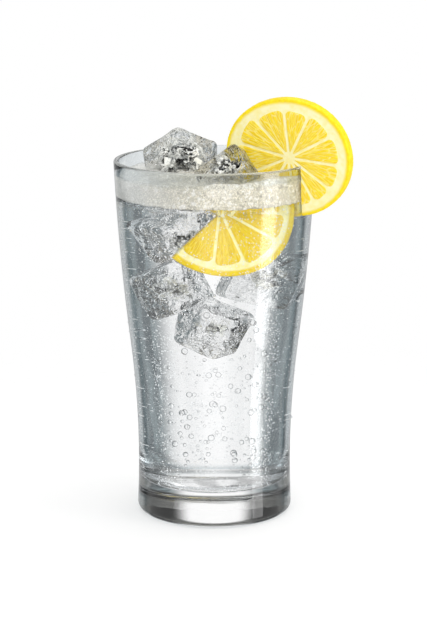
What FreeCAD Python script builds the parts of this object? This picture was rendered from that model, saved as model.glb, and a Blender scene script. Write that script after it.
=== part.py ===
"""A tall tumbler of gin and tonic: clear drink, froth, ice that stands out of it, a lemon wheel
hung on the rim and a cut lemon slice in the drink.

Millimetres, +Z up. The origin is the centre of the circle that the glass stands on, and -Y is
the front. The glass is a turned profile: a heavy base, a waist just above it, and a wall that
flares along two tangent arcs to a round lip. The drink and the froth fill the same inner wall.
The wheel hangs in a slot that follows the wall. Ice and lemon displace drink and froth.
"""

import math
import os

import FreeCAD
import Part
from FreeCAD import Placement, Rotation, Vector

# --- glass ---------------------------------------------------------------------------------
GLASS_HEIGHT = 153.3
RIM_RADIUS = 42.8
WAIST_RADIUS = 32.9
WAIST_HEIGHT = 23.4
KNEE_RISE = 0.40  # where the flare turns back, from the waist (0) to the rim (1)
KNEE_FLARE = 0.33  # how much of the flare is reached there
WALL_AT_RIM = 2.0
WALL_AT_WAIST = 3.0
BASE_THICKNESS = 14.1
CAVITY_CORNER = 7.0
HEEL_RADIUS = 3.5

# --- drink and froth -----------------------------------------------------------------------
DRINK_BELOW_RIM = 14.7
FROTH_DEPTH = 8.0
FROTH_CLIMB = 2.6  # how far the froth rises towards the lemon wheel
FROTH_MENISCUS = 0.9  # how far it creeps up the glass
FROTH_WAVE = 0.45
FROTH_WAVE_LENGTH = 38.0
FROTH_GRID = 17  # points each way on the froth's uneven top

# --- ice -----------------------------------------------------------------------------------
ICE_CORNER = 3.2
ICE_TAPER = 0.88  # the moulded block's small end against its large end
ICE_DISH_DEPTH = 0.9  # how far each face has melted in
ICE_GAP = 0.6  # between a block and the wall it floats against
ICE_SHAPE_STEP = 0.3  # how finely a block is measured when it is put against the wall

LEFT_ICE_SIDES = (26.0, 24.5, 26.0)
LEFT_ICE_SPIN = 46.0  # about its own height, before it tips
LEFT_ICE_TILT = 38.0
LEFT_ICE_TILT_BEARING = 100.0  # degrees round the glass, from +X towards the back
LEFT_ICE_BEARING = 128.0  # the side of the glass that it floats against
LEFT_ICE_ABOVE_RIM = 11.6

RIGHT_ICE_SIDES = (24.0, 18.0, 15.0)
RIGHT_ICE_SPIN = 14.0
RIGHT_ICE_TILT = 78.0
RIGHT_ICE_TILT_BEARING = 247.0
RIGHT_ICE_FROM_WHEEL = 23.0  # from the wheel's centre, along the wheel, to the block's centre
RIGHT_ICE_ABOVE_RIM = 9.8

# --- lemon ---------------------------------------------------------------------------------
LEMON_OVAL = 0.046  # how far the outline is from round, as shares of the radius
LEMON_LOBES = 0.010
LEMON_OFF_CENTRE = 0.024
OUTLINE_POINTS = 24
PEEL_ROUND = 0.9
RIND_THICKNESS = 5.0  # peel and pith together, out from the flesh
CORE_RADIUS = 2.6
MEMBRANE = 0.9
FLESH_RISE = 0.35  # how far the flesh stands out of the pith on each face
FLESH_CORNER = 2.4

WHEEL_RADIUS = 26.4
WHEEL_THICKNESS = 4.6
WHEEL_BEARING = -32.0  # where it hangs on the rim
WHEEL_SLOT_OFFSET = 4.0  # from the wheel's centre out to the slot
WHEEL_ABOVE_RIM = 4.1  # the wheel's centre over the rim
WHEEL_YAW = -24.0
WHEEL_LEAN = 9.0
WHEEL_FIRST_MEMBRANE = 94.0
WHEEL_SEGMENTS = (32, 34, 34, 30, 25, 31, 33, 32, 36, 34, 39)  # degrees, clockwise
SLOT_CLEARANCE = 0.25

SLICE_RADIUS = 28.8
SLICE_THICKNESS = 3.9
SLICE_CUT_FROM = 227.0  # the two straight cuts, seen from the front
SLICE_CUT_TO = 367.0
SLICE_CORE_CUT = 1.4  # how far from the centre the cuts meet
SLICE_LONG_WAY = 150.0  # where the lemon's longer way across points
SLICE_ACROSS = 1.3  # its centre, to the right of the glass's axis
SLICE_UNDER_DRINK = 0.7  # its centre, under the top of the drink
SLICE_YAW = 6.0
SLICE_WALL_GAP = 0.4
SLICE_FIRST_MEMBRANE = -6.0
SLICE_SEGMENTS = (26, 35, 29, 37, 33, 34, 36, 31, 35, 30, 34)  # degrees, clockwise

AXIS = Vector(0, 0, 1)
ORIGIN = Vector(0, 0, 0)
DRINK_LEVEL = GLASS_HEIGHT - DRINK_BELOW_RIM
FROTH_TOP = DRINK_LEVEL + FROTH_DEPTH


class Wall:
    """One face of the turned wall: a waist arc and a rim arc that meet in line at the knee."""

    def __init__(self, waist_radius, rim_radius):
        rise = GLASS_HEIGHT - WAIST_HEIGHT
        self.rim = Vector(rim_radius, 0, GLASS_HEIGHT)
        self.knee = Vector(
            waist_radius + KNEE_FLARE * (rim_radius - waist_radius),
            0,
            WAIST_HEIGHT + KNEE_RISE * rise,
        )
        out = self.knee.x - waist_radius
        up = self.knee.z - WAIST_HEIGHT
        self.waist_arc = (out**2 + up**2) / (2 * out)
        self.waist_centre = Vector(waist_radius + self.waist_arc, 0, WAIST_HEIGHT)
        lean = math.asin(up / self.waist_arc)
        inward = Vector(-math.cos(lean), 0, math.sin(lean))
        chord = self.rim - self.knee
        self.rim_arc = chord.Length**2 / (2 * chord.dot(inward))
        self.rim_centre = self.knee + inward * self.rim_arc

    def radius_at(self, z):
        if z <= self.knee.z:
            return self.waist_centre.x - math.sqrt(
                self.waist_arc**2 - (z - WAIST_HEIGHT) ** 2
            )
        reach = math.sqrt(self.rim_arc**2 - (z - self.rim_centre.z) ** 2)
        return self.rim_centre.x + math.copysign(reach, self.rim_arc)

    def point(self, z):
        return Vector(self.radius_at(z), 0, z)

    def edges(self, start, end):
        """The wall's arcs from one height to another, up or down."""
        stops = [start, end]
        if min(stops) < self.knee.z < max(stops):
            stops.insert(1, self.knee.z)
        return [
            arc(self.point(a), self.point((a + b) / 2), self.point(b))
            for a, b in zip(stops, stops[1:])
        ]

    def corner(self, floor, radius):
        """Centre of a rounding between a flat at height floor and this wall, and where it
        runs into the wall."""
        reach = self.waist_arc + radius
        up = floor + radius
        centre = Vector(
            self.waist_centre.x - math.sqrt(reach**2 - (up - WAIST_HEIGHT) ** 2), 0, up
        )
        touch = self.waist_centre + (centre - self.waist_centre) * (
            self.waist_arc / reach
        )
        return centre, touch

    def corner_edge(self, floor, radius):
        centre, touch = self.corner(floor, radius)
        start = centre - AXIS * radius
        middle = (start + touch) / 2 - centre
        middle.normalize()
        return arc(start, centre + middle * radius, touch)


def line(a, b):
    return Part.LineSegment(a, b).toShape()


def arc(a, b, c):
    """An arc as a spline, so that a long one turns into a surface no larger than the glass."""
    return Part.Arc(a, b, c).toBSpline().toShape()


def turned(edges):
    """The solid that a closed profile sweeps round the glass's axis."""
    return Part.Face(Part.Wire(edges)).revolve(ORIGIN, AXIS, 360)


OUTER = Wall(WAIST_RADIUS, RIM_RADIUS)
INNER = Wall(WAIST_RADIUS - WALL_AT_WAIST, RIM_RADIUS - WALL_AT_RIM)


def glass():
    """The tumbler: flat foot, heel, outer wall, lip, inner wall and cavity floor."""
    heel, heel_top = OUTER.corner(0.0, HEEL_RADIUS)
    corner, corner_top = INNER.corner(BASE_THICKNESS, CAVITY_CORNER)
    lip = WALL_AT_RIM / 2
    shoulder = GLASS_HEIGHT - lip
    middle = Vector(0, 0, 0)
    foot = Vector(heel.x, 0, 0)
    crown = Vector((OUTER.radius_at(shoulder) + INNER.radius_at(shoulder)) / 2, 0, GLASS_HEIGHT)
    floor_edge = Vector(corner.x, 0, BASE_THICKNESS)
    floor = Vector(0, 0, BASE_THICKNESS)
    return turned(
        [
            line(middle, foot),
            OUTER.corner_edge(0.0, HEEL_RADIUS),
            *OUTER.edges(heel_top.z, shoulder),
            arc(OUTER.point(shoulder), crown, INNER.point(shoulder)),
            *INNER.edges(shoulder, corner_top.z),
            INNER.corner_edge(BASE_THICKNESS, CAVITY_CORNER),
            line(floor_edge, floor),
            line(floor, middle),
        ]
    )


def filling(low, high):
    """What fills the glass between two heights, out to the inner wall."""
    bottom = Vector(0, 0, low)
    top = Vector(0, 0, high)
    if low > BASE_THICKNESS:
        wall = INNER.edges(low, high)
        floor = [line(bottom, INNER.point(low))]
    else:
        corner, corner_top = INNER.corner(BASE_THICKNESS, CAVITY_CORNER)
        wall = INNER.edges(corner_top.z, high)
        floor = [
            line(bottom, Vector(corner.x, 0, low)),
            INNER.corner_edge(BASE_THICKNESS, CAVITY_CORNER),
        ]
    return turned([*floor, *wall, line(INNER.point(high), top), line(top, bottom)])


def froth_height(x, y):
    """The froth's top: it waves, creeps up the glass and climbs towards the lemon wheel."""
    rim = INNER.radius_at(FROTH_TOP)
    out = min(math.hypot(x, y) / rim, 1.0)
    bearing = math.radians(WHEEL_BEARING)
    towards = (x * math.cos(bearing) + y * math.sin(bearing)) / rim
    pitch = 2 * math.pi / FROTH_WAVE_LENGTH
    wave = math.sin(pitch * x + 1.0) * math.cos(pitch * y * 1.3)
    climb = FROTH_CLIMB * max(towards, 0.0) ** 2
    return FROTH_TOP + FROTH_WAVE * wave + FROTH_MENISCUS * out**8 + climb


def froth_layer():
    """The froth before anything is cut out of it."""
    headroom = FROTH_WAVE + FROTH_MENISCUS + FROTH_CLIMB
    reach = INNER.radius_at(GLASS_HEIGHT)
    steps = [reach * (2 * i / (FROTH_GRID - 1) - 1) for i in range(FROTH_GRID)]
    top = Part.BSplineSurface()
    top.interpolate([[Vector(x, y, froth_height(x, y)) for y in steps] for x in steps])
    above = top.toShape().extrude(AXIS * (2 * headroom + FROTH_DEPTH))
    return filling(DRINK_LEVEL, FROTH_TOP + headroom).cut(above)


def ice_block(sides):
    """A block from an ice tray, about its own centre: tapered, rounded and melted in a little
    on every face."""
    width, depth, height = sides
    ends = []
    for scale, z in ((ICE_TAPER, -height / 2), (1.0, height / 2)):
        x, y = scale * width / 2, scale * depth / 2
        corners = [Vector(-x, -y, z), Vector(x, -y, z), Vector(x, y, z), Vector(-x, y, z)]
        ends.append(Part.makePolygon([*corners, corners[0]]))
    block = Part.makeLoft(ends, True)
    block = block.makeFillet(ICE_CORNER, block.Edges)
    for axis, side in enumerate(sides):
        for way in (-1, 1):
            across = min(s for i, s in enumerate(sides) if i != axis) / 2 - ICE_CORNER
            ball = (across**2 + ICE_DISH_DEPTH**2) / (2 * ICE_DISH_DEPTH)
            face = side / 2 * ((1 + ICE_TAPER) / 2 if axis < 2 else 1.0)
            out = Vector(*(way if i == axis else 0 for i in range(3)))
            block = block.cut(Part.makeSphere(ball, out * (face + ball - ICE_DISH_DEPTH)))
    return block


def heading(bearing):
    """The level direction at a bearing in degrees."""
    return Rotation(AXIS, bearing).multVec(Vector(1, 0, 0))


def tipped(block, spin, tilt, tilt_bearing, above_rim):
    """Spins a block, tips its top towards a bearing and lifts it until its top corner stands
    that far above the rim. Returns it with points all over it."""
    hinge = AXIS.cross(heading(tilt_bearing))
    block = block.copy()
    block.Placement = Placement(ORIGIN, Rotation(hinge, tilt).multiply(Rotation(AXIS, spin)))
    top = max(p.z for p in block.tessellate(ICE_SHAPE_STEP)[0])
    block.translate(AXIS * (GLASS_HEIGHT + above_rim - top))
    return block, block.tessellate(ICE_SHAPE_STEP)[0]


def left_ice_block():
    """Floats against the glass's inner wall."""
    block, points = tipped(
        ice_block(LEFT_ICE_SIDES),
        LEFT_ICE_SPIN,
        LEFT_ICE_TILT,
        LEFT_ICE_TILT_BEARING,
        LEFT_ICE_ABOVE_RIM,
    )
    way = heading(LEFT_ICE_BEARING)
    free = math.inf
    for p in points:
        if p.z < GLASS_HEIGHT:
            wall = INNER.radius_at(p.z) - ICE_GAP
            along = p.x * way.x + p.y * way.y
            aside = p.x * way.y - p.y * way.x
            free = min(free, math.sqrt(wall**2 - aside**2) - along)
    block.translate(way * free)
    return block


def right_ice_block():
    """Leans on the front face of the lemon wheel."""
    block, points = tipped(
        ice_block(RIGHT_ICE_SIDES),
        RIGHT_ICE_SPIN,
        RIGHT_ICE_TILT,
        RIGHT_ICE_TILT_BEARING,
        RIGHT_ICE_ABOVE_RIM,
    )
    centre, turn = wheel_place()
    front = turn.multVec(Vector(0, -1, 0))
    level_front = Vector(front.x, front.y, 0)
    start = centre - turn.multVec(Vector(1, 0, 0)) * RIGHT_ICE_FROM_WHEEL
    shift = Vector(start.x, start.y, 0)
    near = min((p + shift - centre).dot(front) for p in points)
    short = WHEEL_THICKNESS / 2 + FLESH_RISE + ICE_GAP - near
    block.translate(shift + level_front * (short / level_front.Length**2))
    return block


def lemon_radius(size, angle):
    """The peel's radius at an angle in radians: a little oval, lobed and off the core."""
    oval = LEMON_OVAL * math.cos(2 * angle)
    lobes = LEMON_LOBES * math.cos(3 * angle + 3.4)
    aside = LEMON_OFF_CENTRE * math.cos(angle - 3.4)
    return size * (1 + oval + lobes + aside)


def around(radius, angle):
    """A point of a slice's own plane, which is XZ."""
    return Vector(radius * math.cos(angle), 0, radius * math.sin(angle))


def flesh(size, start, end, thickness):
    """The juicy part of one segment, between two membranes, standing out of both faces."""
    outer = lemon_radius(size, (start + end) / 2) - RIND_THICKNESS
    inset_in = math.asin(MEMBRANE / 2 / CORE_RADIUS)
    inset_out = math.asin(MEMBRANE / 2 / outer)
    a = around(CORE_RADIUS, start + inset_in)
    b = around(outer, start + inset_out)
    c = around(outer, end - inset_out)
    d = around(CORE_RADIUS, end - inset_in)
    wire = Part.Wire(
        [
            line(a, b),
            arc(b, around(outer, (start + end) / 2), c),
            line(c, d),
            line(d, a),
        ]
    )
    depth = thickness + 2 * FLESH_RISE
    face = Part.Face(wire)
    face.translate(Vector(0, -depth / 2, 0))
    pad = face.extrude(Vector(0, depth, 0))
    through = [e for e in pad.Edges if len({round(v.Point.y, 6) for v in e.Vertexes}) > 1]
    wide = [e for e in through if e.CenterOfMass.Length > outer / 2]
    return pad.makeFillet(FLESH_CORNER, wide)


def lemon_disc(size, thickness, first_membrane, segments):
    """A whole slice about its own centre, with its faces along Y: peel and pith with a rounded
    edge, and the flesh of every segment."""
    outline = Part.BSplineCurve()
    turns = [2 * math.pi * i / OUTLINE_POINTS for i in range(OUTLINE_POINTS)]
    outline.interpolate([around(lemon_radius(size, t), t) for t in turns], PeriodicFlag=True)
    face = Part.Face(Part.Wire(outline.toShape()))
    face.translate(Vector(0, -thickness / 2, 0))
    disc = face.extrude(Vector(0, thickness, 0))
    rims = [e for e in disc.Edges if e.Length > size * math.pi]
    disc = disc.makeFillet(PEEL_ROUND, rims)
    pads = []
    end = math.radians(first_membrane)
    for span in segments:
        start = end - math.radians(span)
        pads.append(flesh(size, start, end, thickness))
        end = start
    return disc.fuse(pads)


def wall_space():
    """The glass's wall near the rim and the clearance round it, which the wheel's slot leaves
    free."""
    low = GLASS_HEIGHT - 2 * WHEEL_RADIUS
    top = GLASS_HEIGHT + SLOT_CLEARANCE
    aside = Vector(SLOT_CLEARANCE, 0, 0)
    outer_low = OUTER.point(low) + aside
    inner_low = INNER.point(low) - aside
    outer_top = Vector(OUTER.rim.x + SLOT_CLEARANCE, 0, top)
    inner_top = Vector(INNER.rim.x - SLOT_CLEARANCE, 0, top)
    middle = (low + GLASS_HEIGHT) / 2
    return turned(
        [
            line(inner_low, outer_low),
            arc(outer_low, OUTER.point(middle) + aside, outer_top),
            line(outer_top, inner_top),
            arc(inner_top, INNER.point(middle) - aside, inner_low),
        ]
    )


def wheel_place():
    """The wheel's centre on the rim, and how it is turned."""
    yaw = Rotation(AXIS, WHEEL_YAW)
    seat = heading(WHEEL_BEARING) * ((OUTER.rim.x + INNER.rim.x) / 2)
    inward = yaw.multVec(Vector(-1, 0, 0)) * WHEEL_SLOT_OFFSET
    centre = seat + inward + AXIS * (GLASS_HEIGHT + WHEEL_ABOVE_RIM)
    return centre, yaw.multiply(Rotation(Vector(1, 0, 0), WHEEL_LEAN))


def lemon_wheel():
    """The whole slice on the rim. Its slot is the space of the wall, so it hugs the glass."""
    wheel = lemon_disc(WHEEL_RADIUS, WHEEL_THICKNESS, WHEEL_FIRST_MEMBRANE, WHEEL_SEGMENTS)
    wheel.Placement = Placement(*wheel_place())
    return wheel.cut(wall_space())


def lemon_slice():
    """The cut slice in the drink: what is left of a wheel between two straight cuts. It
    stands upright against the front of the glass."""
    reach = 2 * SLICE_RADIUS
    start = math.radians(SLICE_CUT_FROM)
    end = math.radians(SLICE_CUT_TO)
    middle = (start + end) / 2
    corners = [
        around(SLICE_CORE_CUT, middle),
        around(reach, start),
        around(reach, (start + middle) / 2),
        around(reach, middle),
        around(reach, (middle + end) / 2),
        around(reach, end),
    ]
    depth = 2 * SLICE_THICKNESS
    sector = Part.Face(Part.makePolygon([*corners, corners[0]]))
    sector.translate(Vector(0, -depth / 2, 0))
    keep = sector.extrude(Vector(0, depth, 0))
    first = SLICE_FIRST_MEMBRANE - SLICE_LONG_WAY
    disc = lemon_disc(SLICE_RADIUS, SLICE_THICKNESS, first, SLICE_SEGMENTS)
    disc.rotate(ORIGIN, Vector(0, -1, 0), SLICE_LONG_WAY)
    piece = disc.common(keep)
    centre_height = DRINK_LEVEL - SLICE_UNDER_DRINK
    wall = INNER.radius_at(centre_height) - SLICE_WALL_GAP
    reach_right = lemon_radius(SLICE_RADIUS, math.radians(-SLICE_LONG_WAY))
    turn = math.radians(SLICE_YAW)
    widest = SLICE_ACROSS + reach_right * math.cos(turn)
    out = math.sqrt(wall**2 - widest**2) - SLICE_THICKNESS / 2 - FLESH_RISE
    centre = Vector(SLICE_ACROSS, -out - reach_right * math.sin(turn), centre_height)
    piece.Placement = Placement(centre, Rotation(AXIS, SLICE_YAW))
    return piece


def main():
    wheel = lemon_wheel()
    cut_slice = lemon_slice().cut(wheel)
    garnish = [wheel, cut_slice]
    left_ice = left_ice_block()
    right_ice = right_ice_block().cut(garnish)
    contents = [*garnish, left_ice, right_ice]
    nodes = {
        "glass": glass(),
        "drink": filling(BASE_THICKNESS, DRINK_LEVEL).cut(contents),
        "froth": froth_layer().cut(contents),
        "ice_left": left_ice,
        "ice_right": right_ice,
        "lemon_wheel": wheel,
        "lemon_slice": cut_slice,
    }
    os.makedirs("parts", exist_ok=True)
    for name, shape in nodes.items():
        print(name, len(shape.Solids), shape.isValid(), round(shape.Volume / 1000, 2), "ml")
        shape.exportStep(os.path.join("parts", name + ".step"))


main()
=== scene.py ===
"""A tall tumbler of gin and tonic: turned glass, drink, froth, ice, lemon and fizz, in soft
studio light. Pieces are worked in millimetres and finished in metres, +Z up."""
import math
import random

import bmesh
import bpy
import numpy as np
from mathutils import Matrix, Vector, noise


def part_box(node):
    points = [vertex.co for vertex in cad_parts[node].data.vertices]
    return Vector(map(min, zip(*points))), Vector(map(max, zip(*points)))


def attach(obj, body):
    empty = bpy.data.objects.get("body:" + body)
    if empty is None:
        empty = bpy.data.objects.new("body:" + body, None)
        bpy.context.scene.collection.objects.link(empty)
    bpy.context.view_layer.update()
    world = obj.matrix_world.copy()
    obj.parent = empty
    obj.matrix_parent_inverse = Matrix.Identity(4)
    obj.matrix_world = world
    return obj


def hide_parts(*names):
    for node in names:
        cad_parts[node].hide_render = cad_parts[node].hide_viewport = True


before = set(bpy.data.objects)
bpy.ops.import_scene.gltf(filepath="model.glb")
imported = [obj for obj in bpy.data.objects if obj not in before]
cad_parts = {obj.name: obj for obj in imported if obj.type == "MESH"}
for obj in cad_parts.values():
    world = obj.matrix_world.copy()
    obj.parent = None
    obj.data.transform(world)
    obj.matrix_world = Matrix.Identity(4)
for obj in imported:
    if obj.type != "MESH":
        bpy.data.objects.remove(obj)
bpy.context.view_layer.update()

MM = 0.001
TURNS = 160  # facets round a turned piece
MERGE = 0.004  # corners nearer than this are one, in millimetres
SHEET = 0.08  # how thick a sheet of cracks is
WHITE = (1, 1, 1, 1)
CAMERA_PLACE = (-0.0004, -0.9395, 0.2917)
CAMERA_PITCH = 77.5
CAMERA_LENS = 125.9

# --- sizes, the same as the solids' --------------------------------------------------------
GLASS_HEIGHT = 153.3
RIM_RADIUS = 42.8
WAIST_RADIUS = 32.9
WAIST_HEIGHT = 23.4
KNEE_RISE = 0.40
KNEE_FLARE = 0.33
WALL_AT_RIM = 2.0
WALL_AT_WAIST = 3.0
BASE_THICKNESS = 14.1
CAVITY_CORNER = 7.0
HEEL_RADIUS = 3.5

DRINK_LEVEL = GLASS_HEIGHT - 14.7
FROTH_DEPTH = 8.0
FROTH_TOP = DRINK_LEVEL + FROTH_DEPTH
FROTH_CLIMB = 2.6
FROTH_MENISCUS = 0.9
FROTH_LUMPS = 0.85
INTO_WALL = 0.15  # how far the drink and the froth reach into the glass

ICE_CORNER = 3.2
ICE_TAPER = 0.88
ICE_DISH_DEPTH = 0.9
ICE_MELT = 0.42  # how far a block's faces are rippled

LEMON_OVAL = 0.046
LEMON_LOBES = 0.010
LEMON_OFF_CENTRE = 0.024
PEEL_ROUND = 0.9
RIND_THICKNESS = 5.0
CORE_RADIUS = 2.6
MEMBRANE = 0.9
FLESH_RISE = 0.35
FLESH_CORNER = 2.4
FLESH_SLOPE = 0.5  # how far in from its edge the flesh stands at its full height
LEMON_TURNS = 300  # facets round a lemon piece
FACE_RINGS = 84  # rings of facets across its face
PEEL_RINGS = 8
PEEL_BENDS = 5  # facets in each rounded edge of the peel

WHEEL_RADIUS = 26.4
WHEEL_THICKNESS = 4.6
WHEEL_BEARING = -32.0
WHEEL_SLOT_OFFSET = 4.0
WHEEL_ABOVE_RIM = 4.1
WHEEL_YAW = -24.0
WHEEL_LEAN = 9.0
WHEEL_FIRST_MEMBRANE = 94.0
WHEEL_SEGMENTS = (32, 34, 34, 30, 25, 31, 33, 32, 36, 34, 39)
SLOT_CLEARANCE = 0.25
SLOT_STEPS = (36, 20, 8)  # how far below the rim the slot's walls have a corner

SLICE_RADIUS = 28.8
SLICE_THICKNESS = 3.9
SLICE_CUT_FROM = 227.0
SLICE_CUT_TO = 367.0
SLICE_CORE_CUT = 1.4
SLICE_LONG_WAY = 150.0
SLICE_YAW = 6.0
SLICE_FIRST_MEMBRANE = -6.0
SLICE_SETTLES = (0.5, 0.0, -0.9)  # how far the finished slice has slid from its solid's place
SLICE_SEGMENTS = (26, 35, 29, 37, 33, 34, 36, 31, 35, 30, 34)

# how many bubbles of each kind are made or tried
LARGE_FIZZ = 125
SMALL_FIZZ = 900
SIDE_FIZZ = 3200
FINE_FIZZ = 9400
FIZZ_UNDER_FROTH = 420
DEW = 110

# pale flesh, gold flesh, deep flesh, sac edges (pale walls and a painted highlight), pith, warmer
# pith, peel, deeper peel
WHEEL_TINTS = ("ffe63e", "f9d214", "efbe0c", "fff3a0", "fef7c4", "fbefa2", "fbe41a", "f3d30a")
SLICE_TINTS = ("f5d818", "edc404", "e0b000", "f6e068", "fdf8c4", "f9ec94", "f3d600", "e8c400")


def tint(code):
    """A colour written as six hex digits."""
    parts = [int(code[i : i + 2], 16) / 255 for i in (0, 2, 4)]
    return tuple(c / 12.92 if c < 0.04045 else ((c + 0.055) / 1.055) ** 2.4 for c in parts) + (1,)


def in_scene(name, data):
    """A new object in the scene that holds a mesh, a lamp or a camera."""
    made = bpy.data.objects.new(name, data)
    bpy.context.scene.collection.objects.link(made)
    return made


def mesh_from(name, bm):
    """Turns what was worked in bmesh into a mesh."""
    mesh = bpy.data.meshes.new(name)
    bm.to_mesh(mesh)
    bm.free()
    return mesh


# --- camera, world and lamps ---------------------------------------------------------------
def set_camera():
    camera = bpy.data.cameras.new("camera")
    camera.lens = CAMERA_LENS
    camera.sensor_width = 36
    camera.clip_start = 0.01
    stand = in_scene("camera", camera)
    stand.location = CAMERA_PLACE
    stand.rotation_euler = (math.radians(CAMERA_PITCH), 0, 0)
    bpy.context.scene.camera = stand


class Recipe:
    """The nodes of one finish, world or group, put down one after another."""

    def __init__(self, tree):
        self.tree = tree
        tree.nodes.clear()

    def put(self, kind, sockets=None, **settings):
        """A new node, with a number or another node's output in each socket that is named."""
        made = self.tree.nodes.new(kind)
        for key, value in settings.items():
            setattr(made, key, value)
        for key, value in (sockets or {}).items():
            socket = made.inputs[key]
            if isinstance(value, bpy.types.NodeSocket):
                self.tree.links.new(value, socket)
            else:
                socket.default_value = value
        return made

    def sum(self, operation, a, b=0.0, c=0.0):
        made = self.put("ShaderNodeMath", {0: a, 1: b, 2: c}, operation=operation)
        return made.outputs[0]

    def range(self, value, low, high, start=0.0, end=1.0):
        """Goes smoothly from start to end while a value goes from low to high."""
        made = self.put(
            "ShaderNodeMapRange",
            {0: value, 1: low, 2: high, 3: start, 4: end},
            interpolation_type="SMOOTHSTEP",
        )
        return made.outputs[0]

    def mix(self, share, a, b, blend="MIX"):
        made = self.put("ShaderNodeMix", data_type="RGBA", blend_type=blend)
        for key, value in ((0, share), (6, a), (7, b)):
            if isinstance(value, bpy.types.NodeSocket):
                self.tree.links.new(value, made.inputs[key])
            else:
                made.inputs[key].default_value = value
        return made.outputs[2]

    def blend(self, share, a, b):
        return self.put("ShaderNodeMixShader", {0: share, 1: a, 2: b}).outputs[0]

    def place(self):
        """Where a point lies on its own piece, in metres."""
        return self.put("ShaderNodeTexCoord").outputs["Object"]

    def facing(self):
        """0 where the surface looks at the eye and 1 at its edges."""
        return self.put("ShaderNodeLayerWeight", {"Blend": 0.5}).outputs["Facing"]

    def split(self, vector):
        return self.put("ShaderNodeSeparateXYZ", {0: vector}).outputs

    def clouds(self, place, scale, detail, distortion=0.0):
        return self.put(
            "ShaderNodeTexNoise",
            {"Vector": place, "Scale": scale, "Detail": detail, "Distortion": distortion},
        ).outputs[0]

    def bump(self, height, strength, distance):
        return self.put(
            "ShaderNodeBump", {"Height": height, "Strength": strength, "Distance": distance}
        ).outputs[0]

    def surface(self, colour, roughness, ior, **more):
        """The main shader. An underscore in the name of a further socket stands for a space."""
        sockets = {"Base Color": colour, "Roughness": roughness, "IOR": ior}
        for key, value in more.items():
            sockets[key.replace("_", " ")] = value
        return self.put("ShaderNodeBsdfPrincipled", sockets).outputs[0]


def set_world():
    """White all round, with grey flags between white panels for what glass bends and mirrors."""
    world = bpy.data.worlds.new("studio")
    world.use_nodes = True
    bpy.context.scene.world = world
    r = Recipe(world.node_tree)
    way = r.put("ShaderNodeTexCoord").outputs["Generated"]
    split = r.split(way)
    bearing = r.sum("ARCTAN2", split[1], split[0])
    aside = r.sum("ABSOLUTE", r.sum("COSINE", bearing))
    # white before and behind, and again far out at both sides
    white = r.sum("MAXIMUM", r.range(aside, 0.44, 0.20), r.range(aside, 0.68, 0.78, 0.0, 0.9))
    streak = r.clouds(way, 11.0, 3.0)
    dome = r.range(r.clouds(way, 4.2, 2.0), 0.38, 0.52, 0.15, 1.0)
    up = r.range(split[2], 0.30, 0.55)
    down = r.range(split[2], -0.40, -0.75, 0.0, 0.8)
    # the flags between them are streaked, and dark above eye level
    flag = r.mix(r.range(streak, 0.35, 0.65), tint("586266"), tint("929d9f"))
    flag = r.mix(r.range(split[2], -0.08, 0.10), flag, tint("262829"))
    seen = r.mix(r.sum("MAXIMUM", white, down), flag, WHITE)
    seen = r.mix(up, seen, r.mix(dome, tint("24282b"), WHITE))
    # what is mirrored is plainer than what is seen through the glass
    path = r.put("ShaderNodeLightPath").outputs
    mirrored = r.sum("MAXIMUM", r.range(aside, 0.85, 0.0, 0.15, 0.75), r.range(aside, 0.75, 0.95))
    mirrored = r.mix(mirrored, tint("3c4549"), WHITE)
    shown = r.mix(path["Is Glossy Ray"], (0.67, 0.67, 0.67, 1), mirrored)
    shown = r.mix(path["Is Transmission Ray"], shown, seen)
    shown = r.mix(path["Is Camera Ray"], shown, WHITE)
    back = r.put("ShaderNodeBackground", {"Color": shown, "Strength": 1.0}).outputs[0]
    r.put("ShaderNodeOutputWorld", {"Surface": back})


def hang_lamp(name, place, aim, width, height, power):
    """A softbox that lights the part and isn't seen itself."""
    lamp = bpy.data.lights.new(name, "AREA")
    lamp.shape = "RECTANGLE"
    lamp.size, lamp.size_y, lamp.energy = width, height, power
    stand = in_scene(name, lamp)
    stand.location = place
    stand.rotation_euler = (Vector(aim) - Vector(place)).to_track_quat("-Z", "Y").to_euler()
    stand.visible_camera = False
    return stand


def lay_floor():
    """A pale disc that keeps the shadow, fades out all round, and isn't seen through glass."""
    bm = bmesh.new()
    bmesh.ops.create_circle(bm, cap_ends=True, radius=0.6, segments=96)
    floor = in_scene("floor", mesh_from("floor", bm))
    material, r = new_finish("pale floor")
    reach = r.put("ShaderNodeVectorMath", {0: r.place()}, operation="LENGTH").outputs["Value"]
    near = r.range(reach, 0.10, 0.32, 1.0, 0.0)
    path = r.put("ShaderNodeLightPath").outputs
    bent = r.sum("MAXIMUM", path["Is Glossy Ray"], path["Is Transmission Ray"])
    solid = r.sum("MULTIPLY", near, r.sum("SUBTRACT", 1.0, bent))
    paint = r.put("ShaderNodeBsdfDiffuse", {"Color": (0.98, 0.98, 0.98, 1)}).outputs[0]
    clear = r.put("ShaderNodeBsdfTransparent").outputs[0]
    r.put("ShaderNodeOutputMaterial", {"Surface": r.blend(solid, clear, paint)})
    floor.data.materials.append(material)


# --- finishes ------------------------------------------------------------------------------
def new_finish(name):
    """A material and the recipe for its nodes."""
    material = bpy.data.materials.new(name)
    material.use_nodes = True
    return material, Recipe(material.node_tree)


def see_through(r, shader, shade):
    """Lets lamp light pass straight, so that what stands behind is lit."""
    path = r.put("ShaderNodeLightPath").outputs
    straight = r.sum("MAXIMUM", path["Is Shadow Ray"], path["Is Diffuse Ray"])
    clear = r.put("ShaderNodeBsdfTransparent", {"Color": shade}).outputs[0]
    r.put("ShaderNodeOutputMaterial", {"Surface": r.blend(straight, shader, clear)})


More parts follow.
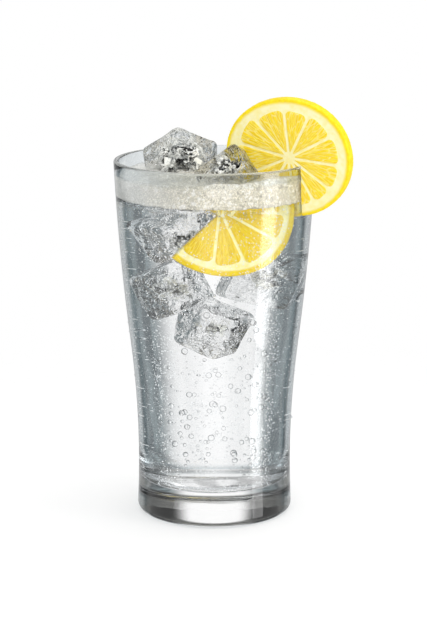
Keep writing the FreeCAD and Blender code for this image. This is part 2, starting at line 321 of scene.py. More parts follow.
def clear_glass():
    """Clear glass with painted shade: it darkens where it is deep, but far more at its edges, in
    the thick base and a little above the froth, standing in for the dark it bends in from round
    about.
    """
    material, r = new_finish("clear glass")
    facing = r.facing()
    height = r.split(r.place())[2]
    # painted shade: a grey band down each side where the glass bends in the dark from round
    # about, weaker above the drink
    deep = r.sum("MULTIPLY", r.range(facing, 0.12, 0.45), r.range(facing, 0.58, 0.66, 1.0, 0.15))
    deep = r.sum("MULTIPLY", deep, r.range(height, 0.1375, 0.1395, 1.0, 0.3))
    body = r.mix(deep, WHITE, tint("bfc9cd"))
    # painted shade: a dark outline at the very edges
    body = r.mix(r.range(facing, 0.82, 0.93), body, tint("66707a"))
    # painted shade: dark blocks in the thick base
    thick = r.sum("MULTIPLY", r.range(facing, 0.08, 0.20), r.range(facing, 0.75, 0.50))
    thick = r.sum("MULTIPLY", thick, r.range(height, 0.0135, 0.0115))
    body = r.mix(thick, body, tint("4a4b48"))
    # painted shade: the glass a little greyer from the froth's top up
    body = r.mix(r.range(height, 0.1465, 0.1475), body, tint("e8ecee"), "MULTIPLY")
    glass = r.surface(body, 0.0, 1.5, Transmission_Weight=1.0)
    base = r.range(height, 0.016, 0.010)
    see_through(r, glass, r.mix(base, (0.975, 0.98, 0.98, 1), (0.72, 0.74, 0.75, 1)))
    return material


def clear_drink():
    material, r = new_finish("gin and tonic")
    drink = r.surface((0.99, 0.995, 1, 1), 0.0, 1.333, Transmission_Weight=1.0)
    see_through(r, drink, (0.99, 0.99, 0.99, 1))
    return material


def fizz():
    """Bubbles with a painted grey ring of shade round a clear middle."""
    material, r = new_finish("fizz")
    # painted shade: a grey ring at each bubble's edge
    ring = r.mix(r.range(r.facing(), 0.30, 0.72), WHITE, tint("6c757a"))
    bubble = r.surface(ring, 0.0, 1.12, Transmission_Weight=1.0)
    see_through(r, bubble, WHITE)
    return material


def fine_fizz():
    """Bubbles too small to show more than their sparkle."""
    material, r = new_finish("fine fizz")
    see_through(r, r.surface(tint("f4f6f7"), 0.15, 1.33), WHITE)
    return material


def clear_ice(name, ior, seed, speckle, ripple=150.0):
    """Clear ice, rippled, with cloudy patches and dark cracks that are partly its own and partly
    painted shade, and painted shade darkening its edges.
    """
    material, r = new_finish(name)
    spot = r.put("ShaderNodeMapping", {0: r.place(), 1: (seed, 2 * seed, -seed)}).outputs[0]
    patch = r.clouds(spot, 230.0, 3.0)
    crack = r.clouds(spot, 330.0, 3.0, 2.0)
    waves = r.clouds(spot, ripple, 2.0, 1.2)
    # partly painted shade: the dark crack lines and grey cloudy patches also stand in for the
    # dark the ice bends in
    line = r.sum("ABSOLUTE", r.sum("SUBTRACT", crack, 0.5))
    line = r.sum("MULTIPLY", r.range(line, 0.045, 0.0), speckle)
    cloudy_and_shaded = r.sum("MULTIPLY", r.range(patch, 0.47, 0.56), speckle)
    body = r.mix(cloudy_and_shaded, WHITE, tint("b4babb"))
    body = r.mix(line, body, tint("505453"))
    # painted shade: darker at the edges
    body = r.mix(r.range(r.facing(), 0.66, 0.95), body, tint("7a8286"))
    rough = r.range(patch, 0.60, 0.75, 0.0, 0.10)
    bump = r.bump(waves, 1.0, 0.0045)
    ice = r.surface(body, rough, ior, Transmission_Weight=1.0, Normal=bump)
    see_through(r, ice, (0.93, 0.94, 0.95, 1))
    return material


def froth_finish():
    """Fine bubbles, creamy and dense by the lemon, paler and thinner at the left."""
    material, r = new_finish("froth")
    place = r.place()
    cells = r.put(
        "ShaderNodeTexVoronoi", {"Vector": place, "Scale": 1500.0}, feature="F1"
    ).outputs["Distance"]
    cloud = r.clouds(place, 90.0, 5.0)
    grain = r.clouds(place, 2600.0, 2.0)
    cream = r.mix(r.range(cells, 0.15, 0.6), tint("fdf6e2"), tint("d8d2bd"))
    cream = r.mix(r.range(cloud, 0.46, 0.66, 0.0, 0.7), cream, tint("fdf8ea"))
    cream = r.mix(r.range(grain, 0.50, 0.64, 0.0, 0.62), cream, tint("989385"))
    fleck = r.clouds(place, 620.0, 3.0)
    cream = r.mix(r.range(fleck, 0.58, 0.66, 0.0, 0.55), cream, tint("96938a"))
    cream = r.mix(r.range(fleck, 0.46, 0.36, 0.0, 0.8), cream, tint("fffdf6"))
    across = r.split(place)[0]
    thick = r.range(r.sum("ADD", across, r.sum("MULTIPLY", cloud, 0.03)), -0.03, 0.020)
    cream = r.mix(thick, r.mix(0.75, cream, tint("f3f6f6")), cream)
    cover = r.sum("ADD", r.sum("MULTIPLY", thick, 0.5), r.range(cells, 0.1, 0.5, 0.62, 0.4))
    foam = r.surface(cream, 0.45, 1.33, Alpha=cover, Normal=r.bump(cells, 0.8, 0.0004))
    r.put("ShaderNodeOutputMaterial", {"Surface": foam})
    return material


def lemon_finish(name, seed, tints, peel_ends):
    """Peel, pith and flesh, told apart by the piece's own distances."""
    pale, gold, deep, sac_edge_and_highlight, pith_a, pith_b, peel_a, peel_b = (tint(t) for t in tints)
    material, r = new_finish(name)
    juice = r.put("ShaderNodeAttribute", attribute_name="into_flesh").outputs["Fac"]
    skin = r.put("ShaderNodeAttribute", attribute_name="under_peel").outputs["Fac"]
    polar = r.put("ShaderNodeUVMap", uv_map="round_the_core").outputs[0]
    place = r.place()
    wide = r.put(
        "ShaderNodeMapping", {0: polar, 1: (seed, seed, 0), 3: (0.9, 0.16, 1.0)}
    ).outputs[0]
    sacs = r.put(
        "ShaderNodeTexVoronoi", {"Vector": wide, "Scale": 1.0}, feature="DISTANCE_TO_EDGE"
    ).outputs[0]
    cell = r.put("ShaderNodeTexVoronoi", {"Vector": wide, "Scale": 1.0}).outputs["Color"]
    narrow = r.put("ShaderNodeMapping", {0: polar, 3: (2.4, 0.35, 1.0)}).outputs[0]
    fine = r.clouds(narrow, 1.0, 4.0)
    flesh = r.mix(r.range(fine, 0.36, 0.62), gold, pale)
    flesh = r.mix(r.range(cell, 0.4, 1.0, 0.0, 0.3), flesh, deep)
    # partly a painted highlight: pale streaks along the juice sacs' edges, which are also their
    # pale walls
    flesh = r.mix(r.range(sacs, 0.0, 0.09, 0.7, 0.0), flesh, sac_edge_and_highlight)
    mottle = r.clouds(place, 420.0, 5.0)
    pith = r.mix(r.range(mottle, 0.35, 0.7), pith_a, pith_b)
    peel = r.mix(r.range(mottle, 0.35, 0.65), peel_a, peel_b)
    edge = r.sum("ADD", skin, r.sum("MULTIPLY", r.sum("SUBTRACT", mottle, 0.5), 1.6))
    body = r.mix(r.range(edge, *peel_ends), peel, pith)
    inside = r.range(juice, -0.05, 0.25)
    colour = r.mix(inside, body, flesh)
    pores = r.put(
        "ShaderNodeTexVoronoi", {"Vector": place, "Scale": 900.0}
    ).outputs["Distance"]
    height = r.sum(
        "ADD",
        r.sum("MULTIPLY", r.range(sacs, 0.0, 0.3), inside),
        r.sum("MULTIPLY", r.range(pores, 0.0, 0.5), r.range(skin, 0.5, 0.9, 0.15, 0.0)),
    )
    bump = r.bump(height, 0.4, 0.0005)
    wet = r.sum("ADD", r.range(inside, 0.0, 1.0, 0.5, 0.18), r.range(fine, 0.3, 0.7, 0.0, 0.1))
    lemon = r.surface(colour, wet, 1.4, Normal=bump)
    r.put("ShaderNodeOutputMaterial", {"Surface": lemon})
    return material


# --- making --------------------------------------------------------------------------------
def scaled(name, bm):
    """Closes a piece, turns it outwards and brings it from millimetres into the scene."""
    bmesh.ops.remove_doubles(bm, verts=bm.verts, dist=MERGE)
    bmesh.ops.recalc_face_normals(bm, faces=bm.faces)
    bmesh.ops.scale(bm, vec=(MM, MM, MM), verts=bm.verts)
    return in_scene(name, mesh_from(name, bm))


def dressed(piece, material, replaces=()):
    """Gives a piece its finish and hangs it on the part."""
    piece.data.shade_smooth()
    piece.data.materials.append(material)
    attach(piece, "root")
    if replaces:
        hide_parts(*replaces)
    return piece


def finished(name, bm, material, replaces=()):
    return dressed(scaled(name, bm), material, replaces)


class Wall:
    """One face of the turned wall: a waist arc and a rim arc that meet in line at the knee."""

    def __init__(self, waist_radius, rim_radius):
        rise = GLASS_HEIGHT - WAIST_HEIGHT
        self.knee = Vector(
            (waist_radius + KNEE_FLARE * (rim_radius - waist_radius), 0,
             WAIST_HEIGHT + KNEE_RISE * rise)
        )
        out = self.knee.x - waist_radius
        up = self.knee.z - WAIST_HEIGHT
        self.waist_arc = (out**2 + up**2) / (2 * out)
        self.waist_centre = Vector((waist_radius + self.waist_arc, 0, WAIST_HEIGHT))
        lean = math.asin(up / self.waist_arc)
        inward = Vector((-math.cos(lean), 0, math.sin(lean)))
        chord = Vector((rim_radius, 0, GLASS_HEIGHT)) - self.knee
        self.rim_arc = chord.length_squared / (2 * chord.dot(inward))
        self.rim_centre = self.knee + inward * self.rim_arc

    def radius_at(self, z):
        if z <= self.knee.z:
            return self.waist_centre.x - math.sqrt(self.waist_arc**2 - (z - WAIST_HEIGHT) ** 2)
        reach = math.sqrt(self.rim_arc**2 - (z - self.rim_centre.z) ** 2)
        return self.rim_centre.x + math.copysign(reach, self.rim_arc)

    def point(self, z):
        return Vector((self.radius_at(z), 0, z))

    def corner(self, floor, radius):
        """A rounding's centre between a flat and this wall, and where it meets the wall."""
        reach = self.waist_arc + radius
        up = floor + radius
        centre = Vector(
            (self.waist_centre.x - math.sqrt(reach**2 - (up - WAIST_HEIGHT) ** 2), 0, up)
        )
        touch = self.waist_centre + (centre - self.waist_centre) * (self.waist_arc / reach)
        return centre, touch


OUTER = Wall(WAIST_RADIUS, RIM_RADIUS)
INNER = Wall(WAIST_RADIUS - WALL_AT_WAIST, RIM_RADIUS - WALL_AT_RIM)
SOAKED = Wall(
    WAIST_RADIUS - WALL_AT_WAIST + INTO_WALL, RIM_RADIUS - WALL_AT_RIM + INTO_WALL
)


class Profile:
    """A line drawn beside the axis, run by run and bend by bend, and then turned round it."""

    def __init__(self, start):
        self.bm = bmesh.new()
        self.tip = self.bm.verts.new(start)

    def run(self, end, steps=1):
        start = self.tip.co.copy()
        for i in range(steps):
            made = bmesh.ops.extrude_vert_indiv(self.bm, verts=[self.tip])["verts"][0]
            made.co = start.lerp(Vector(end), (i + 1) / steps)
            self.tip = made

    def bend(self, centre, end, steps):
        a, b = self.tip.co - centre, Vector(end) - centre
        turn = math.atan2(b.x, b.z) - math.atan2(a.x, a.z)
        turn = (turn + math.pi) % (2 * math.pi) - math.pi
        made = bmesh.ops.spin(
            self.bm, geom=[self.tip], cent=centre, axis=(0, 1, 0), angle=turn, steps=steps
        )
        self.tip = next(v for v in made["geom_last"] if isinstance(v, bmesh.types.BMVert))

    def wall(self, face, end, steps):
        """Follows one face of the wall, up or down."""
        start = self.tip.co.z
        stops = [start, end]
        if min(stops) < face.knee.z < max(stops):
            stops.insert(1, face.knee.z)
        for a, b in zip(stops, stops[1:]):
            low = max(a, b) <= face.knee.z + 1e-6
            centre = face.waist_centre if low else face.rim_centre
            self.bend(centre, face.point(b), steps)

    def turned(self, axis=(0, 0, 1), steps=TURNS):
        bmesh.ops.spin(
            self.bm, geom=self.bm.verts[:] + self.bm.edges[:], cent=(0, 0, 0), axis=axis,
            angle=2 * math.pi, steps=steps, use_merge=True,
        )
        bmesh.ops.remove_doubles(self.bm, verts=self.bm.verts, dist=MERGE)
        return self.bm


def make_glass(material):
    heel, heel_top = OUTER.corner(0.0, HEEL_RADIUS)
    corner, corner_top = INNER.corner(BASE_THICKNESS, CAVITY_CORNER)
    shoulder = GLASS_HEIGHT - WALL_AT_RIM / 2
    lip = (OUTER.point(shoulder) + INNER.point(shoulder)) / 2
    line = Profile((0, 0, 0))
    line.run((heel.x, 0, 0), 6)
    line.bend(heel, heel_top, 8)
    line.wall(OUTER, shoulder, 24)
    line.bend(lip, (lip.x, 0, GLASS_HEIGHT), 5)
    line.bend(lip, INNER.point(shoulder), 5)
    line.wall(INNER, corner_top.z, 24)
    line.bend(corner, (corner.x, 0, BASE_THICKNESS), 10)
    line.run((0, 0, BASE_THICKNESS), 6)
    return finished("tumbler", line.turned(), material, ["glass"])


def make_drink(material):
    floor = BASE_THICKNESS - INTO_WALL
    corner, corner_top = SOAKED.corner(floor, CAVITY_CORNER)
    line = Profile((0, 0, floor))
    line.run((corner.x, 0, floor), 6)
    line.bend(corner, corner_top, 10)
    line.wall(SOAKED, DRINK_LEVEL, 24)
    line.run((0, 0, DRINK_LEVEL), 12)
    return finished("gin_and_tonic", line.turned(), material, ["drink"])


def froth_rise(x, y):
    """How the froth's top leaves the level: it creeps up the glass and climbs to the wheel."""
    rim = INNER.radius_at(FROTH_TOP)
    out = min(math.hypot(x, y) / rim, 1.0)
    bearing = math.radians(WHEEL_BEARING)
    towards = (x * math.cos(bearing) + y * math.sin(bearing)) / rim
    lumps = noise.fractal(Vector((x, y, 3.0)) / 9.0, 1.0, 2.0, 4)
    return FROTH_CLIMB * max(towards, 0.0) ** 2 + FROTH_MENISCUS * out**8 + FROTH_LUMPS * lumps


def make_froth(material):
    line = Profile((0, 0, DRINK_LEVEL - 0.4))
    line.run((SOAKED.radius_at(DRINK_LEVEL - 0.4), 0, DRINK_LEVEL - 0.4), 40)
    line.wall(SOAKED, FROTH_TOP, 10)
    line.run((0, 0, FROTH_TOP), 40)
    bm = line.turned()
    for v in bm.verts:
        share = (v.co.z - DRINK_LEVEL) / FROTH_DEPTH
        if share > 0:
            v.co.z += share * froth_rise(v.co.x, v.co.y)
        else:
            v.co.z += 0.5 * noise.noise(v.co / 2.5)
    return finished("froth_layer", bm, material, ["froth"])


# --- ice -----------------------------------------------------------------------------------
def ice_block(sides, spin, tilt, tilt_bearing, seed, cuts=26):
    """A block from an ice tray about its own centre: tapered, rounded, melted in on every
    face and rippled."""
    bm = bmesh.new()
    bmesh.ops.create_cube(bm, size=2.0)
    bmesh.ops.subdivide_edges(bm, edges=bm.edges[:], cuts=cuts, use_grid_fill=True)
    half = Vector(sides) / 2
    for v in bm.verts:
        p = Vector(c * h for c, h in zip(v.co, half))
        core = Vector(max(-h + ICE_CORNER, min(h - ICE_CORNER, c)) for c, h in zip(p, half))
        off = p - core
        off = off.normalized() * ICE_CORNER if off.length > 1e-9 else off
        unit = v.co.copy()
        p = core + off
        flat = max(abs(c) for c in unit)
        rest = sorted(abs(c) for c in unit)[:2]
        dish = ICE_DISH_DEPTH * max(0.0, 1 - rest[0] ** 2) * max(0.0, 1 - rest[1] ** 2)
        p -= off.normalized() * dish * (flat > 0.999)
        taper = 1 + (ICE_TAPER - 1) * (0.5 - p.z / (2 * half.z))
        p.x *= taper
        p.y *= taper
        far = Vector((seed * 7.3, seed * 3.1, seed * 1.7))
        melt = noise.fractal(p / 11.0 + far, 0.9, 2.1, 3)
        p += off.normalized() * ICE_MELT * melt
        v.co = p
    bmesh.ops.smooth_vert(
        bm, verts=bm.verts[:], factor=0.5, use_axis_x=True, use_axis_y=True, use_axis_z=True
    )
    hinge = Vector((0, 0, 1)).cross(
        Vector((math.cos(math.radians(tilt_bearing)), math.sin(math.radians(tilt_bearing)), 0))
    )
    turn = Matrix.Rotation(math.radians(tilt), 3, hinge) @ Matrix.Rotation(
        math.radians(spin), 3, "Z"
    )
    bmesh.ops.rotate(bm, verts=bm.verts, cent=(0, 0, 0), matrix=turn)
    return bm


def box_middle(node):
    """The middle of a solid's box, in millimetres."""
    low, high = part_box(node)
    return (low + high) / 2 / MM


def own_middle(bm):
    """The middle of the box round a piece that is being worked."""
    low = Vector(min(v.co[i] for v in bm.verts) for i in range(3))
    high = Vector(max(v.co[i] for v in bm.verts) for i in range(3))
    return (low + high) / 2


def put_in_box(bm, node):
    """Moves a block so that its middle is the middle of its solid's box."""
    bmesh.ops.translate(bm, verts=bm.verts, vec=box_middle(node) - own_middle(bm))
    return bm


def cracked(name, middle, aside, size, reach, seed, material, sheets=5):
    """Frosty cracks, as crumpled thin sheets, none further than reach from the block's middle."""
    luck = random.Random(seed)
    bm = bmesh.new()
    for _ in range(sheets):
        made = bmesh.ops.create_grid(bm, x_segments=16, y_segments=16, size=1.0)["verts"]
        wide = size * luck.uniform(0.16, 0.34)
        far = Vector((luck.random(), luck.random(), luck.random())) * 50
        for v in made:
            x, y = v.co.x, v.co.y
            bulge = noise.fractal(Vector((x, y, 0)) * 1.4 + far, 0.8, 2.0, 4)
            edge = 1 + 0.35 * noise.noise(Vector((x, y, 5)) * 2 + far)
            v.co = Vector((x * edge * wide, y * edge * wide * 0.7, bulge * wide * 0.5))
        turn = Matrix.Rotation(luck.uniform(0, 6.28), 3, "Z") @ Matrix.Rotation(
            luck.uniform(0, 3.14), 3, "X"
        )
        bmesh.ops.rotate(bm, verts=made, cent=(0, 0, 0), matrix=turn)
        off = Vector(luck.uniform(-0.16, 0.16) * size for _ in range(3)) + aside
        for v in made:
            far = v.co + off
            v.co = middle + far * (reach * math.tanh(far.length / reach) / far.length)
    bmesh.ops.recalc_face_normals(bm, faces=bm.faces)
    bmesh.ops.solidify(bm, geom=bm.faces[:], thickness=SHEET)
    return finished(name, bm, material)


def crack_finish():
    """Torn veils, white lower down and greyed by painted shade near the blocks' tops."""
    material, r = new_finish("cracks in the ice")
    place = r.place()
    cover = r.range(r.clouds(place, 260.0, 5.0, 1.5), 0.50, 0.57, 0.0, 0.78)
    cloud = r.clouds(place, 170.0, 1.0)
    # painted shade: the veils turn grey, more so towards the blocks' tops
    clear_of_painted_shade = r.sum("ADD", cloud, r.range(r.split(place)[2], 0.155, 0.165, 0.07, -0.05))
    shade = r.mix(r.range(clear_of_painted_shade, 0.36, 0.44), tint("a3a6a4"), tint("fffffa"))
    crack = r.surface(shade, 0.25, 1.31, Alpha=cover)
    r.put("ShaderNodeOutputMaterial", {"Surface": crack})
    return material


# sides, spin, tilt, way it tips and seed of the two blocks that stand out of the drink
ICE_BY_THE_WALL = ((26, 24.5, 26), 46, 38, 100, 1)
ICE_BY_THE_LEMON = ((24, 18, 15), 14, 78, 247, 2)
SUNK_ICE = {
    # sides, spin, tilt, way it tips, bearing, distance from the axis, height
    "sunk_ice_high": ((22, 20, 20), 20, 24, 200, 133, 14.5, 121),
    "sunk_ice_left": ((23, 21, 21), 28, 28, 165, 208, 17, 101),
    "sunk_ice_front": ((22.5, 20, 20), 30, 34, 60, 266, 15, 85),
    "sunk_ice_back": ((25, 22, 23), 12, 20, 20, 35, 18, 103),
}


def make_ice():
    """The two blocks that stand out of the drink, the four sunk in it, and their cracks."""
    bare = clear_ice("ice", 1.24, 0.2, 0.5)
    left = put_in_box(ice_block(*ICE_BY_THE_WALL), "ice_left")
    finished("ice_by_the_wall", left, bare, ["ice_left"])
    veins = crack_finish()
    middle = box_middle("ice_left")
    cracked("cracks_by_the_wall", middle, Vector((0, -5, 7)), 40, 13.5, 21, veins, 12)
    middle = box_middle("ice_right")
    cracked("cracks_by_the_lemon", middle, Vector((0, -1, 3)), 30, 9.0, 22, veins, 10)
    right = put_in_box(ice_block(*ICE_BY_THE_LEMON), "ice_right")
    bright = clear_ice("ice by the lemon", 1.27, 0.9, 0.38)
    finished("ice_by_the_lemon", right, bright, ["ice_right"])
    sunk = clear_ice("sunk ice", 1.13, 0.5, 0.36, 130.0)
    for seed, (name, place) in enumerate(SUNK_ICE.items()):
        sides, spin, tilt, tips, bearing, out, height = place
        bm = ice_block(sides, spin, tilt, tips, seed + 5, 22)
        way = Vector((math.cos(math.radians(bearing)), math.sin(math.radians(bearing)), 0))
        middle = way * out + Vector((0, 0, height))
        bmesh.ops.translate(bm, verts=bm.verts, vec=middle)
        finished(name, bm, sunk)
        reach = 0.47 * min(sides)
        cracked("cracks_in_" + name, middle, Vector(), min(sides), reach, seed + 31, veins)


# --- lemon ---------------------------------------------------------------------------------
def lemon_radius(size, angle):
    """How far the peel is from the core, which is a little off the middle of an uneven oval."""
    oval = LEMON_OVAL * math.cos(2 * angle)
    lobes = LEMON_LOBES * math.cos(3 * angle + 3.4)
    aside = LEMON_OFF_CENTRE * math.cos(angle - 3.4)
    return size * (1 + oval + lobes + aside)


def into_flesh(size, first_membrane, segments, radius, angle):
    """How far a point of the cut face lies inside a segment's flesh, or outside if negative."""
    end = math.radians(first_membrane)
    back = (end - angle) % (2 * math.pi)
    for span in segments:
        width = math.radians(span)
        if back <= width:
            break
        back -= width
        end -= width
    middle = end - width / 2
    outer = lemon_radius(size, middle) - RIND_THICKNESS - radius
    side = radius * math.sin(min(back, width - back)) - MEMBRANE / 2
    inner = radius - CORE_RADIUS
    if outer < FLESH_CORNER and side < FLESH_CORNER:
        edge = FLESH_CORNER - math.hypot(FLESH_CORNER - outer, FLESH_CORNER - side)
    else:
        edge = min(outer, side)
    return min(edge, inner)


def lemon_disc(size, thickness, first_membrane, segments):
    """A whole slice about its own centre, faces along Y, with the flesh standing out of the
    pith, and the peel's rounded edge."""
    half = thickness / 2
    line = Profile((0, -half, 0))
    straight = size - PEEL_ROUND
    bends = [math.radians(90 / PEEL_BENDS * i) for i in range(1, PEEL_BENDS + 1)]
    line.run((straight, -half, 0), FACE_RINGS)
    for t in bends:
        line.run((straight + PEEL_ROUND * math.sin(t), -half + PEEL_ROUND * (1 - math.cos(t)), 0))
    line.run((size, half - PEEL_ROUND, 0), PEEL_RINGS)
    for t in bends:
        line.run((straight + PEEL_ROUND * math.cos(t), half - PEEL_ROUND * (1 - math.sin(t)), 0))
    line.run((0, half, 0), FACE_RINGS)
    bm = line.turned(axis=(0, 1, 0), steps=LEMON_TURNS)
    for v in bm.verts:
        x, y, z = v.co
        radius, angle = math.hypot(x, z), math.atan2(z, x)
        out = lemon_radius(size, angle)
        radius = radius * out / size
        v.co.x, v.co.z = radius * math.cos(angle), radius * math.sin(angle)
        side = 1 if y > 0 else -1
        if abs(abs(y) - half) < 1e-4:
            deep = into_flesh(size, first_membrane, segments, radius, angle)
            rise = FLESH_RISE * max(0.0, min(1.0, deep / FLESH_SLOPE)) ** 0.6
            sac = noise.noise(Vector((angle * 16, radius / 4, side * 5)))
            v.co.y += side * (rise + (0.16 * sac if deep > 0.4 else 0.03 * sac))
        elif radius > out - 0.3:
            pit = noise.noise(v.co / 0.8)
            v.co.x *= 1 + 0.004 * pit
            v.co.z *= 1 + 0.004 * pit
    return bm


def note_lemon(piece, size, first_membrane, segments, place):
    """Writes on every corner how deep it lies in flesh and under the peel, and where it is
    round the core."""
    mesh = piece.data
    back = place.inverted()
    count = len(mesh.vertices)
    juice = mesh.attributes.new("into_flesh", "FLOAT", "POINT")
    skin = mesh.attributes.new("under_peel", "FLOAT", "POINT")
    angles = np.zeros(count)
    radii = np.zeros(count)
    for v in mesh.vertices:
        p = back @ (v.co / MM)
        radius, angle = math.hypot(p.x, p.z), math.atan2(p.z, p.x)
        angles[v.index], radii[v.index] = angle, radius
        juice.data[v.index].value = into_flesh(size, first_membrane, segments, radius, angle)
        skin.data[v.index].value = lemon_radius(size, angle) - radius
    uv = mesh.uv_layers.new(name="round_the_core")
    for face in mesh.polygons:
        start = angles[face.vertices[0]]
        for loop in face.loop_indices:
            i = mesh.loops[loop].vertex_index
            turn = (angles[i] - start + math.pi) % (2 * math.pi) - math.pi + start
            uv.data[loop].uv = (turn * size * 0.7, radii[i])


def heading(bearing):
    return Matrix.Rotation(math.radians(bearing), 3, "Z") @ Vector((1, 0, 0))


def wheel_place():
    yaw = Matrix.Rotation(math.radians(WHEEL_YAW), 3, "Z")
    seat = heading(WHEEL_BEARING) * (RIM_RADIUS - WALL_AT_RIM / 2)
    inward = yaw @ Vector((-1, 0, 0)) * WHEEL_SLOT_OFFSET
    centre = seat + inward + Vector((0, 0, GLASS_HEIGHT + WHEEL_ABOVE_RIM))
    turn = yaw @ Matrix.Rotation(math.radians(WHEEL_LEAN), 3, "X")
    return Matrix.Translation(centre) @ turn.to_4x4()


def cut_away(piece, tool):
    """Takes one solid from another for good."""
    cut = piece.modifiers.new("cut", "BOOLEAN")
    cut.operation = "DIFFERENCE"
    cut.solver = "EXACT"
    cut.object = tool
    depsgraph = bpy.context.evaluated_depsgraph_get()
    made = bpy.data.meshes.new_from_object(piece.evaluated_get(depsgraph))
    piece.modifiers.remove(cut)
    old, piece.data = piece.data, made
    bpy.data.meshes.remove(old)
    bpy.data.objects.remove(tool)


def make_wheel(material):
    """The wheel on the rim, with a slot cut to the wall's own profile plus a clearance."""
    place = wheel_place()
    bm = lemon_disc(WHEEL_RADIUS, WHEEL_THICKNESS, WHEEL_FIRST_MEMBRANE, WHEEL_SEGMENTS)
    bmesh.ops.transform(bm, matrix=place, verts=bm.verts)
    wheel = finished("lemon_wheel_on_the_rim", bm, material, ["lemon_wheel"])
    low = GLASS_HEIGHT - 2 * WHEEL_RADIUS
    top = GLASS_HEIGHT + SLOT_CLEARANCE
    ring = Profile(INNER.point(low) - Vector((SLOT_CLEARANCE, 0, 0)))
    stops = [GLASS_HEIGHT - below for below in SLOT_STEPS] + [top]
    for z in stops:
        ring.run((INNER.radius_at(min(z, GLASS_HEIGHT)) - SLOT_CLEARANCE, 0, z))
    for z in stops[::-1] + [low]:
        ring.run((OUTER.radius_at(min(z, GLASS_HEIGHT)) + SLOT_CLEARANCE, 0, z))
    ring.run(INNER.point(low) - Vector((SLOT_CLEARANCE, 0, 0)))
    cut_away(wheel, scaled("slot", ring.turned()))
    wheel.data.shade_smooth()
    note_lemon(wheel, WHEEL_RADIUS, WHEEL_FIRST_MEMBRANE, WHEEL_SEGMENTS, place)
    return wheel


def make_slice(material):
    """The cut slice: its disc is cut along two planes that meet near the core, and its box
    says where it stands."""
    first = SLICE_FIRST_MEMBRANE - SLICE_LONG_WAY
    bm = lemon_disc(SLICE_RADIUS, SLICE_THICKNESS, first, SLICE_SEGMENTS)
    tilt = Matrix.Rotation(math.radians(SLICE_LONG_WAY), 4, (0, -1, 0))
    bmesh.ops.transform(bm, matrix=tilt, verts=bm.verts)
    start, end = math.radians(SLICE_CUT_FROM), math.radians(SLICE_CUT_TO)
    middle = (start + end) / 2
    tip = Vector((math.cos(middle), 0, math.sin(middle))) * SLICE_CORE_CUT
    for angle, side in ((start, 1), (end, -1)):
        along = Vector((math.cos(angle), 0, math.sin(angle))) * 2 * SLICE_RADIUS - tip
        out = Vector((along.z, 0, -along.x)).normalized() * side
        whole = bm.verts[:] + bm.edges[:] + bm.faces[:]
        cut = bmesh.ops.bisect_plane(
            bm, geom=whole, plane_co=tip, plane_no=out, clear_outer=True, dist=0.0001
        )
        rim = [e for e in cut["geom_cut"] if isinstance(e, bmesh.types.BMEdge)]
        bmesh.ops.triangle_fill(bm, edges=rim, use_beauty=True)
    yaw = Matrix.Rotation(math.radians(SLICE_YAW), 4, "Z")
    bmesh.ops.transform(bm, matrix=yaw, verts=bm.verts)
    shift = box_middle("lemon_slice") - own_middle(bm) + Vector(SLICE_SETTLES)
    place = Matrix.Translation(shift) @ yaw @ tilt
    bmesh.ops.translate(bm, verts=bm.verts, vec=shift)
    piece = finished("lemon_slice_in_the_drink", bm, material, ["lemon_slice"])
    note_lemon(piece, SLICE_RADIUS, first, SLICE_SEGMENTS, place)
    return piece


# --- fizz ----------------------------------------------------------------------------------
def round_axis(out, angle, z):
    """A place given by its distance from the axis, its bearing and its height."""
    return out * math.cos(angle), out * math.sin(angle), z


def scatter(name, places, detail, material):
    """One mesh of many little balls: each place is a centre and a radius in millimetres."""
    bm = bmesh.new()
    bmesh.ops.create_icosphere(bm, subdivisions=detail, radius=1.0)
    ball = mesh_from("ball", bm)
    corners = np.array([v.co for v in ball.vertices])
    faces = np.array([f.vertices[:] for f in ball.polygons])
    bpy.data.meshes.remove(ball)
    centres = np.array([p[0] for p in places])
    radii = np.array([p[1] for p in places])
    spots = (corners[None] * radii[:, None, None] + centres[:, None]) * MM
    shift = np.arange(len(places))[:, None, None] * len(corners)
    rings = (faces[None] + shift).reshape(-1, 3)
    mesh = bpy.data.meshes.new(name)
    mesh.from_pydata(spots.reshape(-1, 3).tolist(), [], rings.tolist())
    return dressed(in_scene(name, mesh), material)


def make_dew(material):
    """Small drops on the outside of the wall, flattened against it."""
    luck = random.Random(17)
    drops = []
    for _ in range(DEW):
        z = luck.uniform(16, 130)
        angle = luck.uniform(0, 2 * math.pi)
        size = 0.22 + 0.5 * luck.random() ** 2
        out = OUTER.radius_at(z) - 0.35 * size
        drops.append((round_axis(out, angle, z), size))
    z, angle = 41.0, math.radians(-4)
    out = OUTER.radius_at(z) - 0.2
    drops.append((round_axis(out, angle, z), 0.75))
    scatter("dew", drops, 3, material)


def fold_hides(spot):
    """Whether the glass would smear a bubble into a dash: far out at the sides, or at the back
    beside the middle. One in six stays there."""
    reach = 0.66 if spot.y < 0 else 0.28
    kept = (spot.x * 7919 + spot.z * 104729) % 6 < 1
    return abs(spot.x) > reach * OUTER.radius_at(spot.z) and not kept


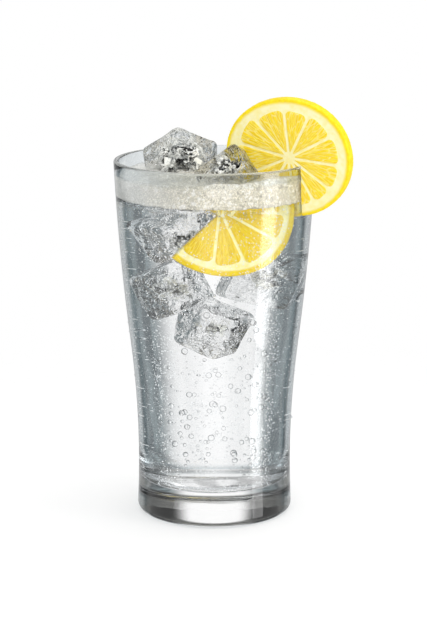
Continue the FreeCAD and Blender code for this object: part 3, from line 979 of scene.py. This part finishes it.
def make_fizz(material, fine):
    """Rings at the front, small bubbles all round and under the froth, and fine specks that
    cling to the wall, most of them at the front's two sides."""
    luck = random.Random(7)
    big, small, tiny = [], [], []
    for _ in range(LARGE_FIZZ):
        z = luck.uniform(26, 96)
        angle = math.radians(luck.uniform(-142, -38))
        size = 0.6 + 0.85 * luck.random() ** 1.5
        out = INNER.radius_at(z) - size - luck.uniform(0.1, 3)
        big.append((round_axis(out, angle, z), size))
    for _ in range(SMALL_FIZZ):
        z = luck.uniform(15, 134)
        angle = luck.uniform(0, 2 * math.pi)
        size = luck.uniform(0.16, 0.42)
        out = (INNER.radius_at(z) - size - 0.1) * math.sqrt(luck.uniform(0.35, 1))
        spot = round_axis(out, angle, z)
        if fold_hides(Vector(spot)):
            continue
        small.append((spot, size))
    for _ in range(SIDE_FIZZ):
        z = luck.uniform(16, 137)
        side = luck.choice((-1, 1))
        angle = math.radians(-90 + side * luck.uniform(26, 52))
        size = 0.10 + 0.30 * luck.random() ** 3
        out = INNER.radius_at(z) - size - luck.uniform(0.05, 1.2)
        spot = Vector(round_axis(out, angle, z))
        if noise.noise(spot / 6) > luck.uniform(-0.5, 0.3):
            tiny.append((tuple(spot), size))
    while len(tiny) < FINE_FIZZ:
        z = luck.uniform(15, 137)
        angle = luck.uniform(0, 2 * math.pi)
        size = 0.10 + 0.22 * luck.random() ** 2
        out = INNER.radius_at(z) - size - 0.05 - abs(luck.gauss(0, 2.5))
        spot = Vector(round_axis(out, angle, z))
        if fold_hides(spot):
            continue
        if noise.noise(spot / 7) + 0.25 > luck.uniform(-0.1, 0.6):
            tiny.append((tuple(spot), size))
    for _ in range(FIZZ_UNDER_FROTH):
        z = DRINK_LEVEL - abs(luck.gauss(0, 2.2)) - 0.4
        angle = math.radians(luck.uniform(-175, -5))
        size = luck.uniform(0.15, 0.45)
        out = INNER.radius_at(z) - size - 0.1 - abs(luck.gauss(0, 1.5))
        small.append((round_axis(out, angle, z), size))
    scatter("fizz_large", big, 3, material)
    scatter("fizz_small", small, 2, material)
    scatter("fizz_fine", tiny, 1, fine)


# --- the scene -----------------------------------------------------------------------------
set_camera()
set_world()
hang_lamp("tall softbox", (0.83, -0.35, 0.2), (0, 0, 0.09), 0.31, 1.2, 3.6)
hang_lamp("overhead softbox", (0.22, 0.05, 1.15), (0, 0, 0.1), 1.2, 1.2, 5.2)
fill = hang_lamp("front softbox", (-0.3, -1.3, 0.55), (0, 0, 0.12), 1.0, 1.0, 7.8)
fill.visible_glossy = fill.visible_transmission = False
lay_floor()
bpy.context.scene.view_settings.view_transform = "Standard"

drink_finish = clear_drink()
make_glass(clear_glass())
make_drink(drink_finish)
make_froth(froth_finish())
make_ice()
make_wheel(lemon_finish("lemon wheel", 3.0, WHEEL_TINTS, (0.9, 2.5)))
make_slice(lemon_finish("lemon slice", 11.0, SLICE_TINTS, (1.8, 3.1)))
make_fizz(fizz(), fine_fizz())
make_dew(drink_finish)
